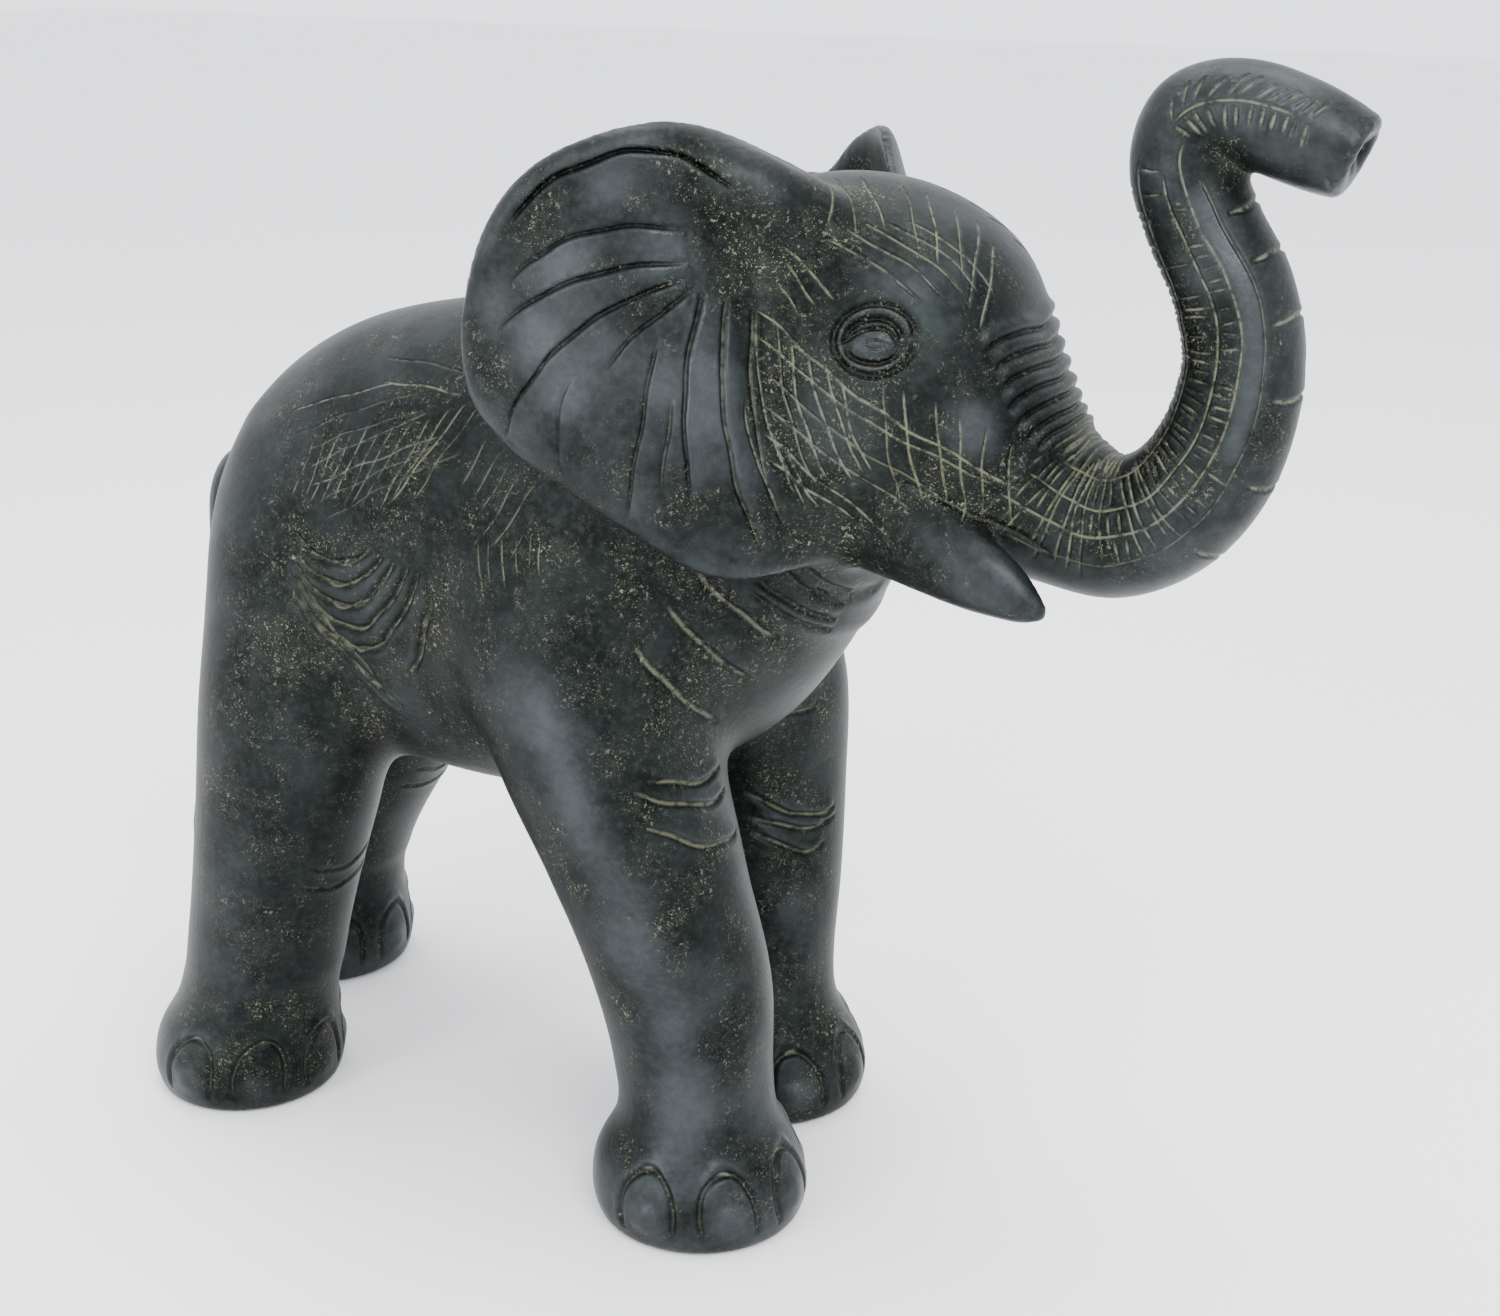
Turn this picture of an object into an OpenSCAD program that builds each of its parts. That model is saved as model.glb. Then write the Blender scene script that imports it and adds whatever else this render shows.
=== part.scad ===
// Standing elephant with a raised trunk, a hollow bronze figure built up from cast sections
// Millimetres, +X towards the trunk, +Y the animal's left, +Z up
// The origin is on the floor, under the middle of the bounding box

/* [Overall] */
// Thickness of the cast wall
wall = 4.5; // [3:0.5:7]
// Distance from the middle of the stance forward to the middle of the bounding box
box_offset = 83; // [60:1:100]
// Facets around a body section
body_sides = 44; // [24:4:64]
// Facets around a leg or the trunk
limb_sides = 28; // [16:4:48]

/* [Feet] */
// Radius of the core hole under each foot
core_r = 33; // [20:1:36]
// Thickness of the sole plate let into the core hole
sole_t = 5; // [3:0.5:8]
// Gap between a sole plate and the core hole
sole_gap = 0.2; // [0.1:0.1:1]
// Distance of the right feet from the middle plane
stance_right = 52; // [40:1:65]
// Distance of the left front foot from the middle plane
stance_front_left = 43; // [35:1:65]
// Distance of the left rear foot from the middle plane
stance_rear_left = 58; // [40:1:70]

/* [Ears] */
// Thickness of an ear at its middle
ear_t = 7; // [4:0.5:12]
// How far the ear stands out behind its root
ear_flare = 26; // [10:1:40]
// Height of the rolled bead along the ear's edge
ear_bead = 3; // [0:0.5:6]
// How much lower the left ear is set than the right one
left_ear_drop = 18; // [0:1:25]
// How much further forward the left ear is set
left_ear_forward = 20; // [0:1:25]
// How much more the left ear stands out
left_ear_open = 6; // [0:1:30]

/* [Tusks] */
// Half the distance between the tusks at the lips
tusk_half = 46; // [25:1:55]
// Half width of a tusk where it leaves the cheek
tusk_r = 12; // [8:0.5:16]

/* [Hidden] */
ear_sides = 54;

// Distance of the bounding box's middle from the plane between the tusks, to the left
middle_offset = 3;

bronze = [0.16, 0.19, 0.18];
rubbed = [0.30, 0.33, 0.34];

// Sections of the body from the rump to the neck opening:
// x, z, tilt of the section's normal above +X, half width, extent up, extent down
body_rows = [
    [-116, 236,  0,  3,  4,  4],
    [-113, 236,  0, 22, 27, 30],
    [-103, 236,  0, 42, 50, 54],
    [ -80, 238,  0, 59, 75, 74],
    [ -45, 241,  0, 71, 92, 86],
    [   0, 246,  0, 79, 98, 97],
    [  40, 248,  4, 82, 97, 98],
    [  74, 254, 13, 84, 90, 92],
    [ 102, 270, 25, 80, 82, 88],
    [ 125, 296, 38, 68, 74, 76]
];

// Sections of the head from the neck opening to the root of the trunk
head_rows = [
    [125, 296,  38, 68, 74, 76],
    [150, 318,  26, 66, 78, 73],
    [178, 326,   5, 65, 77, 66],
    [203, 322, -15, 58, 66, 58],
    [219, 313, -32, 48, 41, 50],
    [234, 300, -45, 38, 27, 40]
];

// Sections of the trunk, split at the weld above the low bend
trunk_low_rows = [
    [234, 300, -45, 38, 26, 39],
    [252, 290, -22, 31, 26, 28],
    [271, 287,   8, 26, 24, 26],
    [290, 297,  38, 24, 23, 24],
    [303, 318,  66, 22, 21, 23],
    [309, 347,  92, 21, 20, 21]
];
trunk_high_rows = [
    [309, 347,  92, 21, 20, 21],
    [304, 372, 108, 20, 20, 20],
    [293, 392, 112, 19, 19, 19],
    [286, 411, 100, 19, 19, 18],
    [290, 425,  50, 18, 19, 15],
    [304, 428,  -4, 17, 18, 15],
    [319, 425, -20, 17, 17, 17],
    [333, 421, -16, 16, 15, 17],
    [343, 418, -14, 13, 11, 14]
];

// Sections of each leg going up: z, x, distance from the middle plane, radius in X, radius in Y
leg_front_right_rows = [
    [  0, 129, stance_right, 40, 39],
    [  8, 129, stance_right, 43, 42],
    [ 24, 128, stance_right, 41, 40],
    [ 42, 128, stance_right, 32, 32],
    [ 60, 127, stance_right, 31, 31],
    [ 98, 122, 52, 35, 34],
    [138, 110, 54, 38, 37],
    [185,  94, 56, 44, 40],
    [225,  82, 58, 46, 38],
    [265,  74, 60, 42, 30],
    [310,  70, 56, 36, 20]
];
leg_front_left_rows = [
    [  0, 112, stance_front_left, 40, 39],
    [  8, 112, stance_front_left, 43, 42],
    [ 24, 111, stance_front_left, 41, 40],
    [ 42, 108, stance_front_left, 34, 33],
    [ 60, 107, stance_front_left + 2, 32, 32],
    [ 98, 105, 49, 35, 34],
    [138, 101, 54, 38, 37],
    [185,  92, 56, 44, 40],
    [225,  82, 58, 46, 38],
    [265,  74, 60, 42, 30],
    [310,  70, 56, 36, 20]
];
leg_rear_right_rows = [
    [  0,  -97, stance_right, 38, 38],
    [  8,  -97, stance_right, 41, 41],
    [ 24,  -96, stance_right, 40, 39],
    [ 42,  -90, stance_right, 35, 34],
    [ 60,  -84, stance_right, 34, 34],
    [ 98,  -75, 52, 35, 36],
    [138,  -65, 52, 39, 37],
    [183,  -56, 52, 43, 36],
    [225,  -52, 50, 44, 33],
    [260,  -50, 48, 42, 28],
    [300,  -48, 44, 36, 20]
];
leg_rear_left_rows = [
    [  0, -138, stance_rear_left, 38, 38],
    [  8, -138, stance_rear_left, 41, 41],
    [ 24, -137, stance_rear_left, 40, 39],
    [ 42, -133, stance_rear_left, 35, 34],
    [ 60, -127, stance_rear_left - 1, 34, 34],
    [ 98, -108, 55, 36, 36],
    [138,  -82, 53, 39, 37],
    [183,  -60, 52, 43, 36],
    [225,  -52, 50, 44, 33],
    [260,  -50, 48, 42, 28],
    [300,  -48, 44, 36, 20]
];

// Weld lines on a surface of sections: row at the middle, rows each way,
// angle round the section at the middle, degrees each way
front_leg_weld = [6.6, 1.35, -28, 52];
rear_leg_weld = [3.9, 0.95, -30, 52];
tusk_weld = [3.3, 0.5, -35, 16];
jaw_weld = [2.3, 0.75, -90, 24];

// Outline of an ear in X and Z, from the crown backwards, down and forwards to the jaw
ear_outline = [
    [166, 405], [151, 414], [128, 424], [104, 418], [84, 404], [70, 384],
    [63, 356], [66, 330], [79, 313], [100, 297], [122, 283], [146, 271],
    [166, 270], [178, 276], [179, 286], [171, 300], [165, 325], [159, 352],
    [162, 384]
];
// The left ear rises to a point
left_ear_outline = concat(
    [ear_outline[0], [152, 408], [140, 424], [127, 434], [114, 424], [101, 410]],
    [for (i = [4:len(ear_outline) - 1]) ear_outline[i]]
);
ear_hub = [138, 362];

// Middle line of a tusk: x, z, distance from the middle plane, and the half width
// and half height as shares of the half width at the root
tusk_rows = [
    [209, 286, tusk_half - 4, 0.95, 1.40],
    [229, 279, tusk_half - 1, 0.85, 1.15],
    [243, 273, tusk_half,     0.70, 0.90],
    [255, 268, tusk_half + 1, 0.45, 0.55],
    [262, 265, tusk_half + 1, 0.06, 0.06]
];

// Middle line of the tail: x, z, radius
tail_rows = [
    [-111, 261, 9],
    [-121, 261, 9],
    [-128, 249, 8.5],
    [-131, 229, 8],
    [-133, 203, 7.5],
    [-138, 170, 6.5],
    [-146, 132, 6],
    [-154, 100, 7],
    [-159,  78, 6],
    [-162,  63, 1]
];

// Smooth curve through the rows of a table, with t counted in rows
function along(rows, t) =
    let (
        last = len(rows) - 1,
        u = min(max(t, 0), last - 0.000001),
        i = floor(u),
        f = u - i,
        a = rows[max(i - 1, 0)],
        b = rows[i],
        c = rows[i + 1],
        d = rows[min(i + 2, last)]
    )
    b + 0.5 * f * ((c - a) + f * ((2 * a - 5 * b + 4 * c - d) + f * (3 * (b - c) + d - a)));

// Position in a table, counted in rows, where the first column reaches a value
function row_at(rows, value, i = 0) =
    i >= len(rows) - 2 || rows[i + 1][0] > value
        ? i + (value - rows[i][0]) / (rows[i + 1][0] - rows[i][0])
        : row_at(rows, value, i + 1);

// Point of a tilted section at an angle round it, pulled in by the wall where one is given
function section_point(row, angle, inset = 0) =
    let (
        side = (row[3] - inset) * cos(angle),
        rise = ((sin(angle) > 0 ? row[4] : row[5]) - inset) * sin(angle)
    )
    [row[0] - rise * sin(row[2]), side, row[1] + rise * cos(row[2])];

function section_ring(row, sides, inset = 0) =
    [for (k = [0:sides - 1]) section_point(row, 360 * k / sides, inset)];

// Rings of a whole run of sections, n rings to each row of its table
function run(rows, sides, n, inset = 0, from = 0) =
    [for (i = [from * n:(len(rows) - 1) * n]) section_ring(along(rows, i / n), sides, inset)];

function turned_round(list) = [for (i = [len(list) - 1:-1:0]) list[i]];

// How far a point is ahead of a section's plane
function ahead(row, x, z) = (x - row[0]) * cos(row[2]) + (z - row[1]) * sin(row[2]);

// Position along a run of the section that holds the point x, z
function section_through(rows, x, z, low, high, steps = 16) =
    let (mid = (low + high) / 2)
    steps == 0 ? mid
        : ahead(along(rows, mid), x, z) > 0
            ? section_through(rows, x, z, mid, high, steps - 1)
            : section_through(rows, x, z, low, mid, steps - 1);

// Half width of a run at x, z, which is 0 outside its outline
function half_width(rows, x, z) =
    let (
        row = along(rows, section_through(rows, x, z, 0, len(rows) - 1)),
        rise = (z - row[1]) * cos(row[2]) - (x - row[0]) * sin(row[2]),
        share = rise / (rise > 0 ? row[4] : row[5])
    )
    row[3] * sqrt(max(0, 1 - share * share));

// Point of a leg at a height and an angle round it
function leg_point(rows, z, angle, inset) =
    let (
        row = along(rows, row_at(rows, z)),
        rx = inset > 0 ? min(row[3] - inset, core_r) : row[3],
        ry = inset > 0 ? min(row[4] - inset, core_r) : row[4]
    )
    [row[1] + rx * cos(angle), row[2] + ry * sin(angle), z];

// Point moved outwards until it clears the side of the body by a gap
function off_body(p, gap) = [p[0], max(p[1], half_width(body_rows, p[0], p[2]) + gap), p[2]];

// Ring on a surface of sections, where another piece is welded to it.
// turn is 1 where the ring runs from the far sections upwards, and -1 where it runs the other way
function weld_ring(rows, weld, sides, turn = 1, share = 1) =
    [for (k = [0:sides - 1]) section_point(
        along(rows, weld[0] + turn * share * weld[1] * cos(360 * k / sides)),
        weld[2] + share * weld[3] * sin(360 * k / sides))];

// Closed skin over a list of rings with equal numbers of points.
// The ends are closed by a fan, or joined to each other where the rings go round in a loop
module skin(rings, loop = false) {
    sides = len(rings[0]);
    count = len(rings);
    spans = loop ? count : count - 1;
    points = concat(
        [for (ring = rings) for (p = ring) p],
        loop ? [] : [centre(rings[0]), centre(rings[count - 1])]
    );
    faces = concat(
        [for (i = [0:spans - 1]) for (k = [0:sides - 1]) each
            let (
                a = i * sides + k,
                b = i * sides + (k + 1) % sides,
                c = ((i + 1) % count) * sides + (k + 1) % sides,
                d = ((i + 1) % count) * sides + k
            )
            [[a, c, b], [a, d, c]]],
        loop ? [] : [for (k = [0:sides - 1]) [count * sides, k, (k + 1) % sides]],
        loop ? [] : [for (k = [0:sides - 1])
            [count * sides + 1, (count - 1) * sides + (k + 1) % sides, (count - 1) * sides + k]]
    );
    polyhedron(points, faces);
}

function centre(ring) = [for (c = [0:2]) sum([for (p = ring) p[c]]) / len(ring)];

function sum(list, i = 0) = i == len(list) ? 0 : list[i] + sum(list, i + 1);

// Shell of a run, open at its far end; its near end is closed where it is the rump
module cup(rows, sides, n) {
    skin(concat(run(rows, sides, n), turned_round(run(rows, sides, n, wall, 1))));
}

// Shell of a run that is open at both ends
module pipe(rows, sides, n) {
    skin(concat(run(rows, sides, n), turned_round(run(rows, sides, n, wall))), loop = true);
}

// Places a piece in the part's own frame
module placed() {
    translate([-box_offset, -middle_offset, 0]) children();
}

module right_side() {
    mirror([0, 1, 0]) children();
}

module torso() {
    color(bronze) placed() cup(body_rows, body_sides, 2);
}

module head() {
    color(bronze) placed() pipe(head_rows, body_sides, 2);
}

module trunk_lower() {
    color(bronze) placed() pipe(trunk_low_rows, limb_sides, 2);
}

// The tip of the trunk is closed and slightly dished
module trunk_upper() {
    last = trunk_high_rows[len(trunk_high_rows) - 1];
    dish = [last[0] - 2, last[1], last[2], 0.45 * last[3], 0.45 * last[4], 0.45 * last[5]];
    inner = run(trunk_high_rows, limb_sides, 2, wall);
    color(bronze) placed() skin(concat(
        [for (i = [len(inner) - 2:-1:0]) inner[i]],
        run(trunk_high_rows, limb_sides, 2),
        [section_ring(dish, limb_sides)]
    ));
}

// Lower jaw, a blunt lip under the mouth
module lower_jaw() {
    sides = limb_sides;
    root = weld_ring(head_rows, jaw_weld, sides, -1);
    middle = centre(root);
    color(bronze) placed() skin(concat(
        [root],
        [for (step = [1:4]) let (rise = sin(22.5 * step), share = max(0.04, cos(22.5 * step)))
            [for (p = root) [
                middle[0] + share * (p[0] - middle[0]) + 12 * rise,
                share * p[1],
                middle[2] + share * (p[2] - middle[2]) - 13 * rise
            ]]]
    ));
}

// Foot and leg as one casting, ending along the line where it is welded to the body
module leg(rows, weld) {
    steps = [0.001, 1, 3, 8, 15, 24, 33, 42, 51, 60, 78, 98, 118, 132];
    top_steps = 8;
    base = steps[len(steps) - 1];
    function flat_ring(z, inset) =
        [for (k = [0:limb_sides - 1]) leg_point(rows, z, 360 * k / limb_sides, inset)];
    function top_ring(step, inset) =
        let (
            share = step / top_steps,
            line = weld_ring(body_rows, weld, limb_sides, 1, inset > 0 ? 0.9 : 1)
        )
        [for (k = [0:limb_sides - 1])
            let (
                end = line[k],
                z = base + (end[2] - base) * share,
                here = leg_point(rows, z, 360 * k / limb_sides, inset),
                last = leg_point(rows, end[2], 360 * k / limb_sides, inset)
            )
            off_body(here + pow(share, 3) * (end - last), inset > 0 ? 0.2 : 1.2)];
    function wall_rings(inset) = [
        for (z = steps) flat_ring(z, inset),
        for (i = [1:top_steps]) top_ring(i, inset)
    ];
    skin(concat(wall_rings(0), turned_round(wall_rings(wall))), loop = true);
}

module leg_front_right() {
    color(bronze) placed() right_side() leg(leg_front_right_rows, front_leg_weld);
}

module leg_front_left() {
    color(bronze) placed() leg(leg_front_left_rows, front_leg_weld);
}

module leg_rear_right() {
    color(bronze) placed() right_side() leg(leg_rear_right_rows, rear_leg_weld);
}

module leg_rear_left() {
    color(bronze) placed() leg(leg_rear_left_rows, rear_leg_weld);
}

// Sole plate let into the core hole under a foot
module sole(rows) {
    translate([rows[0][1], rows[0][2], 0])
        cylinder(h = sole_t, r = core_r * cos(180 / limb_sides) - sole_gap, $fn = 96);
}

module sole_front_right() {
    color(rubbed) placed() right_side() sole(leg_front_right_rows);
}

module sole_front_left() {
    color(rubbed) placed() sole(leg_front_left_rows);
}

module sole_rear_right() {
    color(rubbed) placed() right_side() sole(leg_rear_right_rows);
}

module sole_rear_left() {
    color(rubbed) placed() sole(leg_rear_left_rows);
}

// Closed smooth curve through an ear's outline, u from 0 to 1
function ear_edge(outline, u) =
    let (
        n = len(outline),
        s = u * n,
        i = floor(s),
        f = s - i,
        a = outline[(i + n - 1) % n],
        b = outline[i % n],
        c = outline[(i + 1) % n],
        d = outline[(i + 2) % n]
    )
    b + 0.5 * f * ((c - a) + f * ((2 * a - 5 * b + 4 * c - d) + f * (3 * (b - c) + d - a)));

// Distance of a point behind the ear's root, which runs from the jaw up to the crown
function behind_root(x, z) = max(0, 180 - 0.2 * (z - 284) - x);

// Distance of the ear's middle surface from the animal's middle plane
function ear_stand(x, z, flare) =
    let (
        back = behind_root(x, z),
        high = max(0, (z - 345) / 60)
    )
    66 - 24 * high * exp(-back / 14) + flare * (1 - exp(-back / 36)) - 4 * high;

// Ring on one face of the ear: 1 is the outer face, -1 the inner one, which rests on the head.
// forward and down say how far the whole ear is moved from where its outline is drawn
function ear_ring(outline, share, face, flare, forward, down) = [for (k = [0:ear_sides - 1])
    let (
        edge = ear_edge(outline, k / ear_sides),
        x = ear_hub[0] + share * (edge[0] - ear_hub[0]),
        z = ear_hub[1] + share * (edge[1] - ear_hub[1]),
        middle = ear_stand(x, z, flare),
        thick = ear_t / 2 * sqrt(1 - pow(share, 6)),
        bead = ear_bead * exp(-pow((share - 0.9) / 0.07, 2)),
        root = exp(-pow(behind_root(x, z) / 24, 2)),
        skin_y = max(half_width(head_rows, x + forward, z - down), middle - 20)
    )
    [x, face > 0 ? middle + thick + bead
        : face < 0 ? min((1 - root) * (middle - thick) + root * skin_y, middle - thick)
        : middle, z - down] + [forward, 0, 0]];

// Ear as a curved leaf with a rolled bead along its edge
module ear(outline, flare, forward = 0, down = 0) {
    shares = [0.12, 0.4, 0.65, 0.82, 0.9, 0.96];
    skin(concat(
        [for (s = shares) ear_ring(outline, s, 1, flare, forward, down)],
        [ear_ring(outline, 1, 0, flare, forward, down)],
        [for (s = turned_round(shares)) ear_ring(outline, s, -1, flare, forward, down)]
    ));
}

module ear_right() {
    color(bronze) placed() right_side() ear(ear_outline, ear_flare);
}

module ear_left() {
    color(bronze) placed()
        ear(left_ear_outline, ear_flare + left_ear_open, left_ear_forward, left_ear_drop);
}

// Oval rod swept along a table of x, z, y, half width and half height
function rod_ring(rows, t, sides) =
    let (
        row = along(rows, t),
        step = along(rows, t + 0.05) - along(rows, t - 0.05),
        d = [step[0], step[2], step[1]] / norm([step[0], step[2], step[1]]),
        across = cross([0, 0, 1], d) / norm(cross([0, 0, 1], d)),
        up = cross(d, across)
    )
    [for (k = [0:sides - 1])
        [row[0], row[2], row[1]]
            + row[3] * cos(360 * k / sides) * across + row[4] * sin(360 * k / sides) * up];

module tusk() {
    rows = [for (r = tusk_rows) [r[0], r[1], r[2], r[3] * tusk_r, r[4] * tusk_r]];
    skin(concat(
        [weld_ring(head_rows, tusk_weld, 20, -1)],
        [for (i = [0:(len(rows) - 1) * 3]) rod_ring(rows, i / 3, 20)]
    ));
}

module tusk_right() {
    color(rubbed) placed() right_side() tusk();
}

module tusk_left() {
    color(rubbed) placed() tusk();
}

module tail() {
    rows = [for (r = tail_rows) [r[0], r[1], 0, r[2], r[2]]];
    color(bronze) placed() skin([for (i = [0:(len(rows) - 1) * 2]) rod_ring(rows, i / 2, 14)]);
}

torso();
head();
lower_jaw();
trunk_lower();
trunk_upper();
ear_right();
ear_left();
tusk_right();
tusk_left();
leg_front_right();
leg_front_left();
leg_rear_right();
leg_rear_left();
sole_front_right();
sole_front_left();
sole_rear_right();
sole_rear_left();
tail();
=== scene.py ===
"""Standing bronze elephant: sculpted skin, patina, pale floor, soft studio light and the camera.

The skin is drawn in the design frame of the part, in millimetres: +X towards the trunk, +Y the
animal's left, +Z up, with y = 0 between the tusks. OFFSET takes it to the row's own frame.
"""

import math

import bpy
import numpy as np
import openvdb
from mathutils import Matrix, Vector


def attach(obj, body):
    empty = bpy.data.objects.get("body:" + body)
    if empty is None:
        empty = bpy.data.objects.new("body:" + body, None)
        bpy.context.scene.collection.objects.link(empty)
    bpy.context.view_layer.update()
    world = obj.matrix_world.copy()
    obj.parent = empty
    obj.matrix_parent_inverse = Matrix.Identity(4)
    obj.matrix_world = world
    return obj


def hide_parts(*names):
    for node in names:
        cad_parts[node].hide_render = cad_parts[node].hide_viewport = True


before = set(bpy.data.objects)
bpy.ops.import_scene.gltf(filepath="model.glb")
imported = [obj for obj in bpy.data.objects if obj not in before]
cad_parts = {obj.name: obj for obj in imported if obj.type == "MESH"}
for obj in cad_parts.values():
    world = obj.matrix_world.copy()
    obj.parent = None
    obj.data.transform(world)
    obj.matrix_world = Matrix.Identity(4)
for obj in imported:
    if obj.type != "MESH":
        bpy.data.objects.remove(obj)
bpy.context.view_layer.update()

MM = 0.001
OFFSET = np.array([83.0, 3.0, 0.0])
# Grid spacing of the fields, how far out they reach, and how deep a piece's caps lie
VOXEL = 2.0
BAND = 26.0
CAP_DEPTH = 2.5
# Points handled at a time, so that the arrays stay small
CHUNK = 20000
# How often the border between two pieces is evened out
EVEN_PASSES = 12
random = np.random.default_rng(382)

# Sections, as in the part: x, z, tilt, half width, extent up, extent down
BODY = np.array([
    [-116, 236, 0, 3, 4, 4], [-113, 236, 0, 22, 27, 30], [-103, 236, 0, 42, 50, 54],
    [-80, 238, 0, 59, 75, 74], [-45, 241, 0, 71, 92, 86], [0, 246, 0, 79, 98, 97],
    [40, 248, 4, 82, 97, 98], [74, 254, 13, 84, 90, 92], [102, 270, 25, 80, 82, 88],
    [125, 296, 38, 68, 74, 76],
], float)
HEAD = np.array([
    [125, 296, 38, 68, 74, 76], [150, 318, 26, 66, 78, 73], [178, 326, 5, 65, 77, 66],
    [203, 322, -15, 58, 66, 58], [219, 313, -32, 48, 41, 50], [234, 300, -45, 38, 27, 40],
], float)
TRUNK = np.array([
    [234, 300, -45, 38, 26, 39], [252, 290, -22, 31, 26, 28], [271, 287, 8, 26, 24, 26],
    [290, 297, 38, 24, 23, 24], [303, 318, 66, 22, 21, 23], [309, 347, 92, 21, 20, 21],
    [304, 372, 108, 20, 20, 20], [293, 392, 112, 19, 19, 19], [286, 411, 100, 19, 19, 18],
    [290, 425, 50, 18, 19, 15], [304, 428, -4, 17, 18, 15], [319, 425, -20, 17, 17, 17],
    [333, 421, -16, 16, 15, 17], [346, 417, -14, 14, 12, 15],
], float)
TRUNK_WELD = 5
# Where the flat face of the tip cuts the trunk off: x, z and slant in degrees
TIP_X = 343
TIP_Z = 418
TIP_SLANT = -24

# Sections of each leg going up: z, x, distance from the middle plane, radius in X, radius in Y
FRONT_TOP = [
    [185, 94, 56, 44, 40], [225, 82, 57, 45, 38], [262, 75, 55, 41, 32], [298, 72, 42, 34, 22],
]
REAR_TOP = [
    [183, -56, 52, 43, 36], [225, -52, 48, 43, 33], [258, -50, 44, 40, 28], [292, -48, 32, 32, 16],
]
LEGS = {
    "leg_front_right": (-1, [
        [-6, 129, 52, 39, 38], [0, 129, 52, 40, 39], [8, 129, 52, 43, 42], [24, 128, 52, 41, 40],
        [42, 128, 52, 32, 32], [60, 127, 52, 31, 31], [98, 122, 52, 35, 34], [138, 110, 54, 38, 37],
    ] + FRONT_TOP),
    "leg_front_left": (1, [
        [-6, 112, 43, 39, 38], [0, 112, 43, 40, 39], [8, 112, 43, 43, 42], [24, 111, 43, 41, 40],
        [42, 108, 43, 34, 33], [60, 107, 45, 32, 32], [98, 105, 49, 35, 34], [138, 101, 54, 38, 37],
    ] + FRONT_TOP),
    "leg_rear_right": (-1, [
        [-6, -97, 52, 37, 37], [0, -97, 52, 38, 38], [8, -97, 52, 41, 41], [24, -96, 52, 40, 39],
        [42, -90, 52, 35, 34], [60, -84, 52, 34, 34], [98, -75, 52, 35, 36], [138, -65, 52, 39, 37],
    ] + REAR_TOP),
    "leg_rear_left": (1, [
        [-6, -138, 58, 37, 37], [0, -138, 58, 38, 38], [8, -138, 58, 41, 41], [24, -137, 58, 40, 39],
        [42, -133, 58, 35, 34], [60, -127, 57, 34, 34], [98, -108, 55, 36, 36], [138, -82, 53, 39, 37],
    ] + REAR_TOP),
}
# Hollow under each foot for its sole plate: radius and depth
SOLE_R = 33.0
SOLE_T = 5.3

# Outline of an ear in x and z, the point its pleats and rings spread from, and its thickness
EAR_OUTLINE = np.array([
    [170, 397], [152, 410], [128, 424], [103, 419], [81, 406], [66, 385], [58, 356], [61, 328],
    [76, 309], [99, 295], [122, 283], [146, 271], [166, 270], [178, 276], [179, 286], [171, 300],
    [165, 325], [161, 352], [165, 384],
], float)
EAR_HUB = np.array([138.0, 362.0])
EAR_T = 7.0
# The left ear rises to a point
POINT = [[158, 402], [145, 420], [129, 430], [109, 423], [94, 408]]
POINTED = np.concatenate([EAR_OUTLINE[:1], POINT, EAR_OUTLINE[4:]])
# Middle line of the ridge from the top of the right ear down to the crown: x, y, z, radii
CREST = np.array([
    [100, 68, 409, 4, 4], [125, 64, 412, 8, 8.5], [150, 48, 401, 13, 12.5], [176, 24, 377, 15, 14],
], float)
# Side, how far out the ear stands behind its root, how far forward and down it is moved, outline
EARS = {"ear_right": (-1, 26, 0, 0, EAR_OUTLINE), "ear_left": (1, 32, 20, 18, POINTED)}

# Middle lines of a tusk and of the tail: x, y, z, half width, half height
TUSK = np.array([
    [186, 34, 290, 14, 20], [208, 40, 285, 13, 18], [230, 45, 278, 11, 14.5],
    [243, 46, 273, 9, 11.5], [254, 47, 268, 6, 7], [262, 47, 265, 1.5, 2],
], float)
TAIL = np.array([
    [-106, 0, 262, 10, 10], [-119, 0, 261, 9.5, 9.5], [-128, 0, 249, 8.5, 8.5],
    [-131, 0, 229, 8, 8], [-133, 0, 203, 7.5, 7.5], [-138, 0, 170, 6.5, 6.5],
    [-146, 0, 132, 6, 6], [-154, 0, 100, 7, 7], [-159, 0, 78, 6, 6], [-162, 0, 64, 2, 2],
], float)


# ---------------------------------------------------------------- curves and sections

def along(rows, t):
    """Smooth curve through the rows of a table, with t counted in rows."""
    rows = np.asarray(rows, float)
    t = np.clip(np.asarray(t, float), 0, len(rows) - 1.000001)
    i = t.astype(int)
    f = (t - i)[..., None]
    a = rows[np.maximum(i - 1, 0)]
    b = rows[i]
    c = rows[i + 1]
    d = rows[np.minimum(i + 2, len(rows) - 1)]
    return b + 0.5 * f * ((c - a) + f * ((2 * a - 5 * b + 4 * c - d) + f * (3 * (b - c) + d - a)))


def on_section(rows, t, angle):
    """Points of tilted sections at angles round them: 0 is left, 90 up and 180 right."""
    row = along(rows, t)
    angle = np.radians(angle)
    tilt = np.radians(row[..., 2])
    side = row[..., 3] * np.cos(angle)
    rise = np.where(np.sin(angle) > 0, row[..., 4], row[..., 5]) * np.sin(angle)
    return np.stack([row[..., 0] - rise * np.sin(tilt), side, row[..., 1] + rise * np.cos(tilt)], -1)


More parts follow.
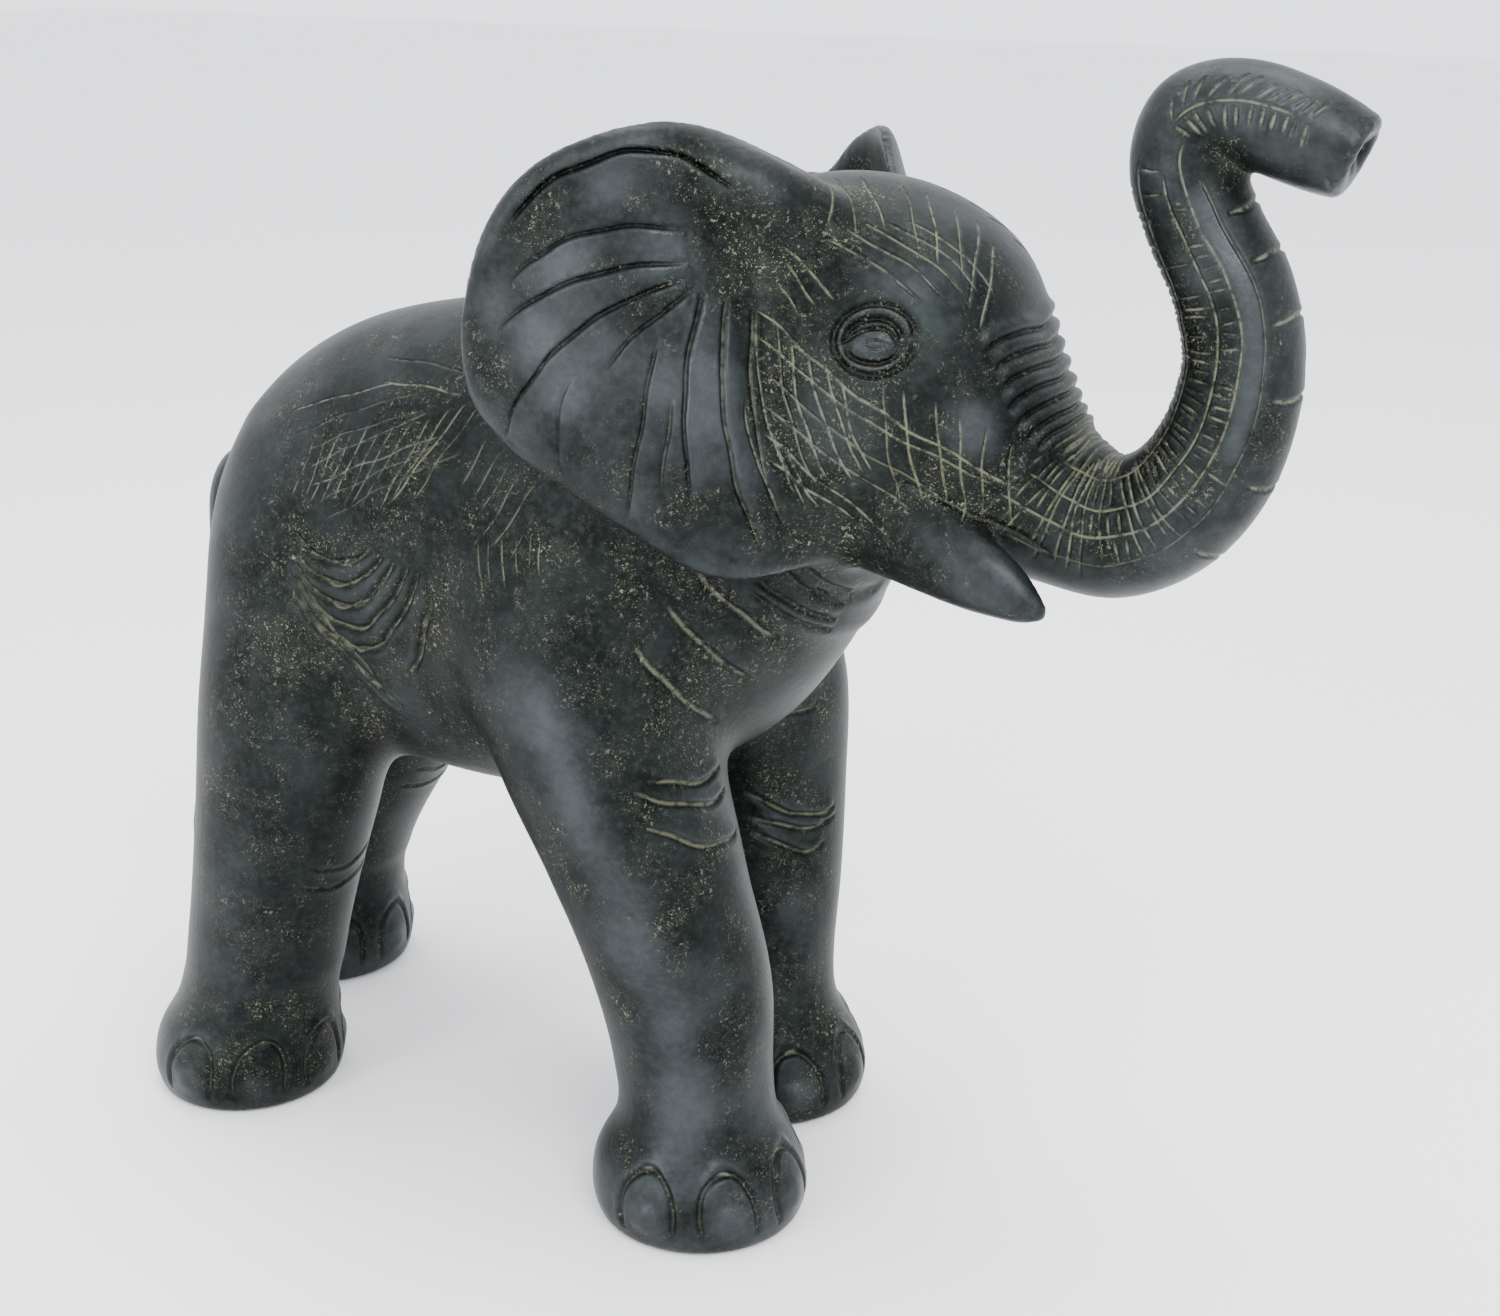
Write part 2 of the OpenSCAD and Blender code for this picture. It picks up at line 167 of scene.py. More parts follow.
def on_leg(leg, z, angle):
    """Points on a leg at a height and an angle round it: 0 is forward and 90 outward."""
    side, rows = LEGS[leg]
    rows = np.asarray(rows, float)
    z = np.asarray(z, float)
    t = np.interp(z, rows[:, 0], np.arange(len(rows)))
    row = along(rows, t)
    angle = np.radians(angle)
    x = row[..., 1] + row[..., 3] * np.cos(angle)
    y = side * (row[..., 2] + row[..., 4] * np.sin(angle))
    return np.stack([x, y, z + 0 * x], -1)


def rod_rings(rows, steps, sides=28):
    """Oval rings round a middle line."""
    t = np.linspace(0, len(rows) - 1, steps)
    row = along(rows, t)
    step = along(rows, t + 0.03) - along(rows, t - 0.03)
    ahead = step[:, :3] / np.linalg.norm(step[:, :3], axis=1)[:, None]
    across = np.cross([0.0, 1.0, 0.0], ahead)
    across /= np.linalg.norm(across, axis=1)[:, None]
    up = np.cross(ahead, across)
    angle = np.linspace(0, 2 * np.pi, sides, endpoint=False)[None, :, None]
    wide = row[:, None, 3:4] * np.sin(angle) * up[:, None]
    high = row[:, None, 4:5] * np.cos(angle) * across[:, None]
    return row[:, None, :3] + wide + high


def behind_root(x, z):
    """How far back a point of the ear is from the line where the ear meets the head."""
    return np.maximum(0, 180 - 0.2 * (z - 284) - x)


def ear_stand(x, z, flare):
    """Distance of the ear's middle surface from the middle plane, where its outline is drawn."""
    back = behind_root(x, z)
    high = np.maximum(0, (z - 345) / 60)
    inward = 26 * high * np.exp(-(back / 20) ** 2)
    tuck = 15 * np.exp(-(back / 24) ** 2) * np.clip((312 - z) / 36, 0, 1)
    return 66 - inward - tuck + flare * (1 - np.exp(-back / 36)) - 4 * high


def ear_rings(side, flare, forward, down, outline):
    """Rings over an ear: out over its outer face, round its edge and back over its inner face."""
    n = len(outline)
    closed = np.concatenate([outline[-1:], outline, outline[:2]])
    edge = along(closed, 1 + np.linspace(0, n, 150, endpoint=False))
    shares = np.concatenate([np.linspace(0.04, 0.8, 14), np.linspace(0.83, 1, 15)])
    rings = []
    for face, list_of_shares in ((1, shares), (-1, shares[-2::-1])):
        for share in list_of_shares:
            x, z = (EAR_HUB + share * (edge - EAR_HUB)).T
            stand = ear_stand(x, z, flare)
            # The ear keeps its thickness where it stands aslant
            aslant = np.minimum(np.hypot(1, ear_stand(x + 1, z, flare) - stand), 2.5)
            thick = EAR_T / 2 * math.sqrt(1.004 - share ** 26) * aslant
            back = behind_root(x, z)
            free = 1 - np.exp(-(back / 30) ** 2)
            bead = 2.5 * free * math.exp(-((share - 0.92) / 0.06) ** 2)
            bead = bead * np.clip((z - 365) / 30, 0, 1) if face > 0 else 0
            curl = 6 * free * share ** 7 * np.clip((330 - z) / 30, 0, 1)
            y = stand - curl + face * thick + bead
            y = y + 3 * (1 - share ** 2) - 7 * np.exp(-(back / 12) ** 2)
            rings.append(np.stack([x + forward, side * y, z - down], -1))
    return np.array(rings)


# ---------------------------------------------------------------- fields

def loft(rings):
    """Closed mesh over an array of rings, as points and triangles."""
    count, sides = rings.shape[:2]
    ends = np.stack([rings[0].mean(0), rings[-1].mean(0)])
    points = np.concatenate([rings.reshape(-1, 3), ends])
    k = np.arange(sides)
    after = (k + 1) % sides
    start = (np.arange(count - 1) * sides)[:, None]
    a = (start + k).ravel()
    b = (start + after).ravel()
    last = (count - 1) * sides
    triangles = np.concatenate([
        np.stack([a, b + sides, b], 1),
        np.stack([a, a + sides, b + sides], 1),
        np.stack([np.full(sides, count * sides), k, after], 1),
        np.stack([np.full(sides, count * sides + 1), last + after, last + k], 1),
    ])
    return points, triangles


def field(rings):
    """Signed distance round a closed mesh in mm, as (lowest grid corner, array)."""
    points, triangles = loft(rings)
    grid = openvdb.FloatGrid.createLevelSetFromPolygons(
        points.astype(np.float32), triangles=triangles.astype(np.uint32),
        transform=openvdb.createLinearTransform(voxelSize=VOXEL), halfWidth=BAND / VOXEL)
    pad = int(BAND / VOXEL) + 2
    low = np.floor(points.min(0) / VOXEL).astype(int) - pad
    high = np.ceil(points.max(0) / VOXEL).astype(int) + pad
    values = np.full(high - low, BAND, np.float32)
    grid.copyToArray(values, ijk=tuple(int(v) for v in low))
    return low, values


def sample(part, points):
    """Values of a field at points in mm, by linear interpolation. Outside the field it is BAND."""
    low, values = part
    g = points / VOXEL - low
    inside = np.all((g >= 0) & (g < np.array(values.shape) - 1.001), axis=1)
    g = g[inside]
    i = g.astype(int)
    f = g - i
    flat = values.ravel()
    sx = values.shape[1] * values.shape[2]
    sy = values.shape[2]
    base = i[:, 0] * sx + i[:, 1] * sy + i[:, 2]
    total = np.zeros(len(g))
    for corner in range(8):
        dx, dy, dz = corner >> 2 & 1, corner >> 1 & 1, corner & 1
        weight = (f[:, 0] if dx else 1 - f[:, 0]) * (f[:, 1] if dy else 1 - f[:, 1])
        weight = weight * (f[:, 2] if dz else 1 - f[:, 2])
        total += weight * flat[base + dx * sx + dy * sy + dz]
    out = np.full(len(points), BAND)
    out[inside] = total
    return out


def slope(part, points, step=1.2):
    """Unit gradient of a field at points: the outward normal near the surface."""
    gradient = np.stack([
        sample(part, points + step * axis) - sample(part, points - step * axis)
        for axis in np.eye(3)], 1)
    return gradient / np.maximum(np.linalg.norm(gradient, axis=1), 1e-9)[:, None]


def bulging(points, normals, reach):
    """How fast the skin falls away round each point: positive on ridges, negative in creases."""
    across = np.cross(normals, [0.31, 0.11, 0.94])
    across /= np.maximum(np.linalg.norm(across, axis=1), 1e-6)[:, None]
    other = np.cross(normals, across)
    total = sum(sample(skin, points + reach * d) for d in (across, -across, other, -other))
    return total / (4 * reach)


def window(whole, part):
    """Where a part's array lies in the whole, and the bit of the part that is inside it."""
    start = part[0] - whole[0]
    low = np.maximum(start, 0)
    high = np.minimum(start + part[1].shape, whole[1].shape)
    into = tuple(slice(a, b) for a, b in zip(low, high))
    own = tuple(slice(a, b) for a, b in zip(low - start, high - start))
    return into, own


def join(whole, part, soft):
    """Smooth union of a part into the whole, rounded over a length in mm."""
    into, own = window(whole, part)
    old = whole[1][into]
    new = part[1][own]
    h = np.maximum(soft - np.abs(old - new), 0) / soft
    whole[1][into] = np.minimum(old, new) - h ** 3 * (soft / 6)


def grid_points(part):
    """Coordinates in mm along each axis of a field, shaped to combine."""
    low, values = part
    return [((low[a] + np.arange(values.shape[a])) * VOXEL).reshape(
        [-1 if b == a else 1 for b in range(3)]) for a in range(3)]


def carve(whole, shape):
    """Takes a shape, given as a signed distance array, out of the whole."""
    np.maximum(whole[1], -shape.astype(np.float32), out=whole[1])


def blurred(values, reach):
    """Box blur over 2 * reach + 1 voxels each way."""
    for axis in range(3):
        padded = np.concatenate([
            np.repeat(np.take(values, [0], axis), reach + 1, axis), values,
            np.repeat(np.take(values, [-1], axis), reach, axis)], axis)
        sums = np.cumsum(padded, axis, dtype=np.float64)
        n = values.shape[axis]
        width = 2 * reach + 1
        upper = np.take(sums, range(width, width + n), axis)
        lower = np.take(sums, range(0, n), axis)
        values = ((upper - lower) / width).astype(np.float32)
    return values


def section_rings(rows, start, end, steps, sides=72):
    t = np.linspace(start, end, steps)[:, None]
    return on_section(rows, t, np.linspace(0, 360, sides, endpoint=False)[None])


def leg_rings(leg, steps=60):
    rows = np.asarray(LEGS[leg][1], float)
    z = np.linspace(rows[0, 0], rows[-1, 0], steps)[:, None]
    return on_leg(leg, z, np.linspace(0, 360, 60, endpoint=False)[None])


def jaw_rings():
    """A blunt lip that hangs below the mouth, wider than it is long."""
    down = np.linspace(0, 1, 9)[:, None]
    angle = np.linspace(0, 2 * np.pi, 40, endpoint=False)[None]
    size = np.sqrt(1.02 - down ** 2)
    x = 189 + 9 * down + 19 * size * np.cos(angle)
    y = 23 * size * np.sin(angle)
    z = 282 - 22 * down + 0 * angle
    return np.stack([x, y, z], -1)


def build_fields():
    """The field of every part, and the whole skin as their smooth union."""
    parts = {
        "torso": field(section_rings(BODY, 0, len(BODY) - 1, 90)),
        "head": field(section_rings(HEAD, 0, len(HEAD) - 1, 60)),
        "trunk_lower": field(section_rings(TRUNK, 0, TRUNK_WELD, 60)),
        "trunk_upper": field(section_rings(TRUNK, TRUNK_WELD, len(TRUNK) - 1, 80)),
        "lower_jaw": field(jaw_rings()),
        "tail": field(rod_rings(TAIL, 60)),
    }
    for leg in LEGS:
        parts[leg] = field(leg_rings(leg))
    for ear, shape in EARS.items():
        parts[ear] = field(ear_rings(*shape))
    join(parts["ear_right"], field(rod_rings(CREST, 40) * [1, -1, 1]), 12)
    for name, side in (("tusk_right", -1), ("tusk_left", 1)):
        parts[name] = field(rod_rings(TUSK, 40) * [1, side, 1])
    low = np.min([p[0] for p in parts.values()], 0)
    high = np.max([p[0] + p[1].shape for p in parts.values()], 0)
    whole = (low, np.full(high - low, BAND, np.float32))
    softness = [
        ("torso", 1), ("head", 14), ("leg_rear_right", 20), ("leg_rear_left", 20),
        ("leg_front_right", 22), ("leg_front_left", 22), ("trunk_lower", 12), ("trunk_upper", 3),
        ("lower_jaw", 9), ("tusk_right", 12), ("tusk_left", 12), ("ear_right", 14), ("ear_left", 9),
        ("tail", 5),
    ]
    for name, soft in softness:
        join(whole, parts[name], soft)
    x, y, z = grid_points(whole)
    slant = math.radians(TIP_SLANT)
    beyond = (x - TIP_X) * math.cos(slant) + (z - TIP_Z) * math.sin(slant)
    across = (z - TIP_Z) * math.cos(slant) - (x - TIP_X) * math.sin(slant)
    at_tip = (x > 310) & (z > 396) & (y > -BAND)
    carve(whole, np.where(at_tip, -beyond, BAND))
    for side in (-1, 1):
        nostril = np.sqrt((beyond / 1.2) ** 2 + ((y - side * 4.6) * 1.1) ** 2 + (across / 1.35) ** 2) - 4.4
        carve(whole, nostril)
    carve(whole, z)
    whole = (whole[0], blurred(whole[1], 1))
    for leg, (side, rows) in LEGS.items():
        ring = np.sqrt((x - rows[1][1]) ** 2 + (y - side * rows[1][2]) ** 2) - SOLE_R
        carve(whole, np.maximum(ring, z - SOLE_T))
    return parts, whole


# ---------------------------------------------------------------- marks cut into the skin

class Mark:
    """A line worked into the skin: a groove, a fold beside it, or a streak of polish, partly painted
    sheen.
    """

    def __init__(self, points, width, depth, pale, swell, reach, polish_and_sheen):
        self.points = points
        self.width = width
        self.depth = depth
        self.pale = pale
        self.swell = swell
        self.reach = reach
        self.polish_and_sheen = polish_and_sheen
        ahead = np.gradient(points, axis=0)
        self.ahead = ahead / np.maximum(np.linalg.norm(ahead, axis=1), 1e-9)[:, None]
        self.normal = slope(skin, points)
        self.side = np.cross(self.normal, self.ahead)
        steps = np.linalg.norm(np.diff(points, axis=0), axis=1)
        place = np.concatenate([[0], np.cumsum(steps)])
        self.length = place[-1]
        ends = np.minimum(place, place[-1] - place)
        fading = min(max(5.0, 2 * width, reach if swell else 0), 0.4 * self.length + 0.01)
        self.taper = np.clip(ends / fading, 0, 1) ** 0.7


marks = []


def settle(points, rounds=4):
    """Moves points onto the skin along its gradient."""
    for _ in range(rounds):
        points = points - np.clip(sample(skin, points), -6, 6)[:, None] * slope(skin, points)
    return points


def dense(points, spacing=1.0):
    """Smooth line through a few points, sampled evenly enough for a mark."""
    points = np.asarray(points, float)
    length = np.linalg.norm(np.diff(points, axis=0), axis=1).sum()
    count = max(6, int(length / spacing))
    return along(points, np.linspace(0, len(points) - 1, count))


def mark(points, width=0.85, depth=0.7, pale=0.8, swell=0.0, reach=8.0, polish_and_sheen=0.0, wobble=0.25):
    """Adds a line through points near the skin. A positive swell lies to the line's left."""
    if len(points) < 2:
        return
    line = settle(dense(points))
    if wobble:
        phase = random.uniform(0, 6.28, 3)
        s = np.arange(len(line))
        wave = np.stack([np.sin(s / 4.1 + phase[0]), np.sin(s / 5.3 + phase[1]),
                         np.sin(s / 3.7 + phase[2])], 1)
        line = settle(line + wobble * wave, 2)
    marks.append(Mark(line, width, depth, pale, swell, reach, polish_and_sheen))


def both(points):
    """The same line on the right, as drawn, and on the left."""
    points = np.asarray(points, float)
    return points, points * [1, -1, 1]


def from_side(xz, side):
    """Points where level lines from one side first meet the skin, up to where they step off it."""
    xz = np.asarray(xz, float)
    flat = dense(np.insert(xz, 1, 0.0, axis=1), 3.0)
    distance = np.full(len(flat), 150.0)
    for _ in range(60):
        flat[:, 1] = side * distance
        distance -= np.clip(sample(skin, flat) * 0.8, 0, 8)
    flat[:, 1] = side * distance
    steps = np.nonzero(np.abs(np.diff(distance)) > 8)[0] + 1
    return max(np.split(flat, steps), key=len)


def stroke(x, z, heading, length, bend=0.0):
    """Side view of a line drawn from a point, which turns by the bend on its way."""
    turn = np.radians(heading + bend * np.linspace(-0.4, 0.4, 5))
    steps = np.stack([np.cos(turn), np.sin(turn)], 1) * length / 5
    return np.concatenate([[[x, z]], [x, z] + np.cumsum(steps, 0)])


def family(first, last, count):
    """Strokes spread evenly from the first to the last, each a little off, as by hand."""
    rows = np.linspace(first, last, count)
    for row in rows + random.uniform(-1, 1, rows.shape) * (1.2, 1.2, 3.0, 3.0, 4.0):
        yield stroke(*row)


def hanging(left, right, sag):
    """Side view of a slack fold between two ends."""
    u = np.linspace(0, 1, 9)[:, None]
    drop = np.concatenate([0 * u, sag * np.sin(np.pi * u) ** 0.8], 1)
    return np.array(left) * (1 - u) + np.array(right) * u - drop


def ring_line(rows, t, start, end, lean=0.0):
    """Part of a ring round a run of sections."""
    angle = np.linspace(start, end, 7)
    return on_section(rows, t + lean * np.linspace(-0.5, 0.5, 7), angle)


def mark_face():
    """Eyes, brow rolls, the lattice on the cheeks and the lines on the forehead."""
    eye = np.array([199.0, -54.0, 355.5])
    forward = np.array([0.94, 0.34, 0.0])
    up = np.array([0.0, 0.17, 0.985])
    turn = np.radians(np.linspace(0, 360, 17))

    def oval(wide, high):
        return eye + wide * np.cos(turn)[:, None] * forward + high * np.sin(turn)[:, None] * up

    # The eyeball stands proud, with a little painted sheen
    for line in both([eye - 8 * forward - 2 * up, eye + 8 * forward - 2 * up]):
        mark(line, 4.6, -1.9, 0, polish_and_sheen=0.15, wobble=0)
    for wide, high, width, depth, pale in ((13.8, 12.2, 1.2, 1.4, 0.1), (11.6, 10.0, 1.2, -1.4, 0.3)):
        for line in both(oval(wide, high)):
            mark(line, width, depth, pale, wobble=0.1)
    # Lids and pupil: points forward and up from the middle of the eye, width, depth and dust
    lids = [
        ([[-10.5, -1], [-8, 3.8], [-2, 6.8], [4, 6.2], [8.3, 2], [9, -3]], 0.9, 1.5, 0.1),
        ([[-13, -2.8], [-9.5, -0.6], [-4.5, 2.5], [1, 3.4], [5, 2.2], [8.2, -2]], 0.7, 1.4, 0.3),
        ([[-10, -3.8], [-6, -7], [0, -8.2], [5, -7.3], [8.5, -4.2]], 0.8, 1.5, 0.3),
        ([[-4.5, -2], [-1, -0.8], [2, -0.9], [5, -2]], 0.5, 0.9, 0.2),
        ([[-4.5, -2], [-1, -3.4], [2, -3.3], [5, -2]], 0.5, 0.8, 0.3),
    ]
    for lid, width, depth, pale in lids:
        for line in both([eye + a * forward + b * up for a, b in lid]):
            mark(line, width, depth, pale, wobble=0.05)

    # Brow rolls: ridges and grooves in turn, which curve down towards their ends
    outer = np.linspace(3.47, 4.86, 15)
    middle = np.linspace(3.76, 4.92, 15)
    half = np.interp(np.arange(15), [0, 3, 8, 14], [42, 39, 46, 40])
    share = np.linspace(-1, 1, 19)
    for row in range(15):
        t = middle[row] + (outer[row] - middle[row]) * np.abs(share) ** 1.6 + 0.1 * np.abs(share) ** 6
        line = on_section(HEAD, t, 90 + half[row] * share)
        if row % 2:
            mark(line, 0.9, 0.8, 0.1 + 0.05 * max(0, row - 8), wobble=0.2)
        else:
            mark(line, 2.2, -1.5, 0, wobble=0.2)

    # First and last stroke of each family as x, z, heading, length and bend, then how many
    cheek = [
        ((159, 364, -32, 108, 6), (166, 315, -43, 32, 4), 6),
        ((160, 364, -74, 62, 14), (190, 344, -70, 38, 6), 6),
        ((203, 345, -83, 46, 4), (242, 321, -88, 28, 4), 6),
        ((161, 334, -74, 36, 8), (172, 316, -66, 22, 8), 3),
        ((161, 384, -40, 26, 0), (163, 372, -44, 20, 0), 3),
    ]
    for side in (-1, 1):
        for first, last, count in cheek:
            for line in family(first, last, count):
                mark(from_side(line, side), 0.55, 0.6, random.uniform(0.6, 0.95), wobble=0.35)
        mark(from_side(stroke(204, 337, 58, 36, 85), side), 8, 2.8, 0, wobble=0)
        mark(from_side(stroke(184, 372, -3, 34, -20), side), 9, -1.2, 0, wobble=0)
        # A raised cheekbone and a streak below it, both with painted sheen
        mark(from_side(stroke(222, 334, -42, 26), side), 9, -1.4, 0, polish_and_sheen=0.35, wobble=0)
        mark(from_side(stroke(190, 308, -25, 35, -10), side), 6, 0, 0, polish_and_sheen=0.35, wobble=0)
        mark(from_side(stroke(206, 307, -28, 58, -15), side), 1.1, 1.1, 0.3, wobble=0.2)

    forehead = []
    for t in np.linspace(1.4, 3.3, 10) + random.uniform(-0.05, 0.05, 10):
        start, end = (98, 125) + random.uniform(-4, 4, 2)
        forehead.append(ring_line(HEAD, t, start, end, 0.4))
    for share in np.linspace(0, 1, 5):
        t = np.linspace(2.0, 2.9, 7) + 0.5 * share
        forehead.append(on_section(HEAD, t, np.linspace(130 - 15 * share, 138 - 24 * share, 7)))
    for line in forehead:
        for side_line in both(line):
            mark(side_line, 0.5, 0.5, random.uniform(0.6, 0.95), wobble=0.3)
    for line in both(on_section(HEAD, np.linspace(0.25, 0.95, 7), np.linspace(195, 266, 7))):
        mark(line, 3.5, 2.0, 0, wobble=0.3)


def mark_trunk():
    """Lines along the trunk and the many short rings between them."""
    bends = [0.6, 5.8, 8.7]
    edges = {"a": [125, 131, 142], "b": [146, 175, 170], "c": [168, 197, 188], "d": [192, 219, 206]}

    def edge(name, t):
        return np.interp(t, bends, edges[name])

    def midline(t):
        return np.interp(t, [8.9, 10.1, 11.2], [167, 158, 157])

    for side in (1, -1):
        for name, start, end, pale in (("a", 0.5, 8.2, 0.7), ("b", 0.1, 8.0, 0.8),
                                       ("c", 0.0, 8.7, 0.8), ("d", 0.5, 7.9, 0.5)):
            t = np.linspace(start, end, 26)
            angle = edge(name, t)
            mark(on_section(TRUNK, t, angle) * [1, -side, 1], 0.55, 0.55, pale)
        t = 0.05
        while t < 8.3:
            row = along(TRUNK, t)
            step = along(TRUNK, t + 0.1) - along(TRUNK, t - 0.1)
            per_row = 10 * math.hypot(step[0], step[1]) / 2
            missing = 0.5 if 5.6 < t else 0.1
            tiers = [(60, edge("a", t)), (edge("a", t), edge("b", t)), (edge("b", t), edge("c", t))]
            if t < 4.0:
                tiers.append((edge("c", t), edge("d", t)))
            if t < 3.4 and random.random() < 0.55:
                tiers = [(random.uniform(100, 125), edge("d", t) + random.uniform(-8, 16))]
            for start, end in tiers:
                if random.random() < missing:
                    continue
                shift = random.uniform(-1.0, 1.0) / per_row
                start = start + random.uniform(0.5, 3.0) if start != 60 else start
                line = ring_line(TRUNK, t + shift, start, end - random.uniform(-2, 3),
                                 random.uniform(-0.06, 0.02))
                mark(line * [1, -side, 1], 0.55, 0.55, random.uniform(0.4, 0.9), wobble=0.3)
            t += 3.8 * random.uniform(0.8, 1.2) / per_row
        bend = np.linspace(8.9, 11.2, 12)
        mark(on_section(TRUNK, bend, midline(bend)) * [1, -side, 1], 0.6, 0.6, 0.8)
        for t in np.arange(8.85, 11.7, 0.24) + random.uniform(-0.05, 0.05, 12):
            high = midline(t)
            reach = random.uniform(24, 36)
            upper = on_section(TRUNK, t + np.linspace(0.02, 0.26, 5),
                               np.linspace(high - 2, high - reach, 5))
            mark(upper * [1, -side, 1], 0.6, 0.6, random.uniform(0.5, 0.9), wobble=0.3)
            low = on_section(TRUNK, t + np.linspace(0, 0.06, 5), np.linspace(high + 2, high + reach, 5))
            mark(low * [1, -side, 1], 0.7, 0.6, random.uniform(0.6, 1.0), wobble=0.3)
    for t in (3.1, 3.95, 4.75, 5.55, 6.35, 7.1):
        mark(ring_line(TRUNK, t, 222, 318), 0.9, 0.8, 0.85, wobble=0.4)
    for t, start, end in ((12.3, 205, 240), (12.6, 216, 248), (12.75, 118, 150), (12.5, 60, 84)):
        mark(ring_line(TRUNK, t, start, end, 0.25), 1.8, 0.2, 0.4, wobble=0.6)
    # A smoothed strip down each side, its grey partly polish and partly painted sheen
    for side in (1, -1):
        t = np.linspace(4.1, 7.7, 9)
        middle = (edge("c", t) + edge("d", t)) / 2
        line = on_section(TRUNK, t, middle) * [1, -side, 1]
        mark(line, 3.8, 0.0, 0.0, polish_and_sheen=0.75, wobble=0)


def mark_ears():
    """Pleats that gather at the top of the root and streaks of painted sheen; on the right a rolled rim.
    """
    # x, z, heading, length, bend, depth, swell, reach and dust
    pleats = [
        (80, 370, 19, 65, -60, 0.9, 1.8, 12, 0.15), (76, 355, 21, 71, -40, 1.1, 2.0, 13, 0.12),
        (76, 316, 42, 90, -48, 1.3, 2.1, 14, 0.3), (116, 343, 45, 40, -16, 0.8, 1.4, 9, 0.3),
        (122, 291, 79, 66, 6, 0.9, 1.3, 8, 0.35), (136, 302, 83, 35, 0, 0.7, 0.8, 7, 0.4),
        (146, 301, 90, 70, -12, 1.0, 1.5, 8, 0.35), (165, 282, 99, 88, -8, 0.9, 1.2, 7, 0.45),
        (171, 290, 100, 75, -5, 0.7, 0.7, 5, 0.45), (100, 304, 81, 40, -45, 0.4, 0.7, 8, 0.05),
    ]
    # Streaks of painted sheen over each ear: x, z, heading and length
    painted_sheen_streaks = [
        (98, 326, 55, 24), (92, 374, 25, 26), (104, 399, 10, 24), (84, 340, 58, 26),
        (128, 372, 55, 24), (138, 330, 90, 20), (150, 320, 94, 30), (72, 350, 73, 27),
    ]
    rim = EAR_HUB + 0.86 * (along(EAR_OUTLINE, np.linspace(4.6, 0.9, 9)) - EAR_HUB)
    mark(from_side(rim, -1), 0.9, 1.9, 0.12, -2.0, 12, wobble=0.3)
    for side, _, forward, down, _ in EARS.values():
        move = forward, -down
        for x, z, heading, length, bend, depth, swell, reach, pale in pleats:
            line = from_side(stroke(x, z, heading, length, bend) + move, side)
            mark(line, 0.9, depth, pale, side * swell, reach, wobble=0.3)
        # Painted sheen along these streaks
        for shape in painted_sheen_streaks:
            mark(from_side(stroke(*shape) + move, side), 8, 0, 0, polish_and_sheen=0.46, wobble=0)
        mark(from_side(stroke(128, 356, 62, 27) + move, side), 9, 1.8, 0, wobble=0)


def mark_sides():
    """Fine hatching on the flank and shoulder, the slack folds of the belly and the chest."""
    # Families of strokes, as on the cheek
    hatching = [
        ((-32, 297, -104, 26, -6), (44, 320, -122, 44, -8), 12),
        ((-20, 269, 28, 70, -4), (-50, 303, 18, 60, -8), 7),
        ((-6, 320, 2, 38, -6), (-10, 327, 0, 44, -6), 2),
        ((52, 308, -113, 20, -6), (78, 297, -122, 28, -6), 5),
        ((56, 275, -76, 18, 4), (84, 281, -82, 14, 4), 6),
        ((69, 282, -122, 13, 0), (78, 282, -112, 12, 0), 2),
    ]
    folds = [hanging((-36 + 4 * u, 263 - 20 * u), (6 + 23 * u, 263 - 5 * u), 9 + 21 * u)
             for u in np.linspace(0, 1, 5)]
    folds += [stroke(-33, 240, -48, 60), stroke(-28, 242, -51, 44), stroke(34, 252, -113, 44, -30)]
    for side in (-1, 1):
        for first, last, count in hatching:
            for line in family(first, last, count):
                mark(from_side(line, side), 0.42, 0.45, random.uniform(0.5, 0.9), wobble=0.4)
        for shape in ((-32, 284, 20, 52), (18, 296, 24, 24), (52, 294, -40, 28)):
            mark(from_side(stroke(*shape), side), 9, 0, 0.16, wobble=0)
        for fold in folds:
            mark(from_side(fold, side), 1.5, 1.6, 0.35, side * 1.1, 5, wobble=0.5)
            mark(from_side(fold[1:], side), 0.6, 0.4, 0.6, wobble=0.6)
        mark(from_side(stroke(44, 262, -60, 68, 8), side), 6, 1.6, 0, wobble=0)
    creases = [(ring_line(BODY, t, 200, 234), 0.55) for t in (8.0, 8.4, 8.75)]
    creases += [(ring_line(HEAD, t, 214, 250), 0.2) for t in (0.05, 0.3, 0.6, 0.85)]
    for crease, pale in creases:
        for line in both(crease):
            mark(line, 1.5, 1.3, pale, 0.5, 5, wobble=0.5)


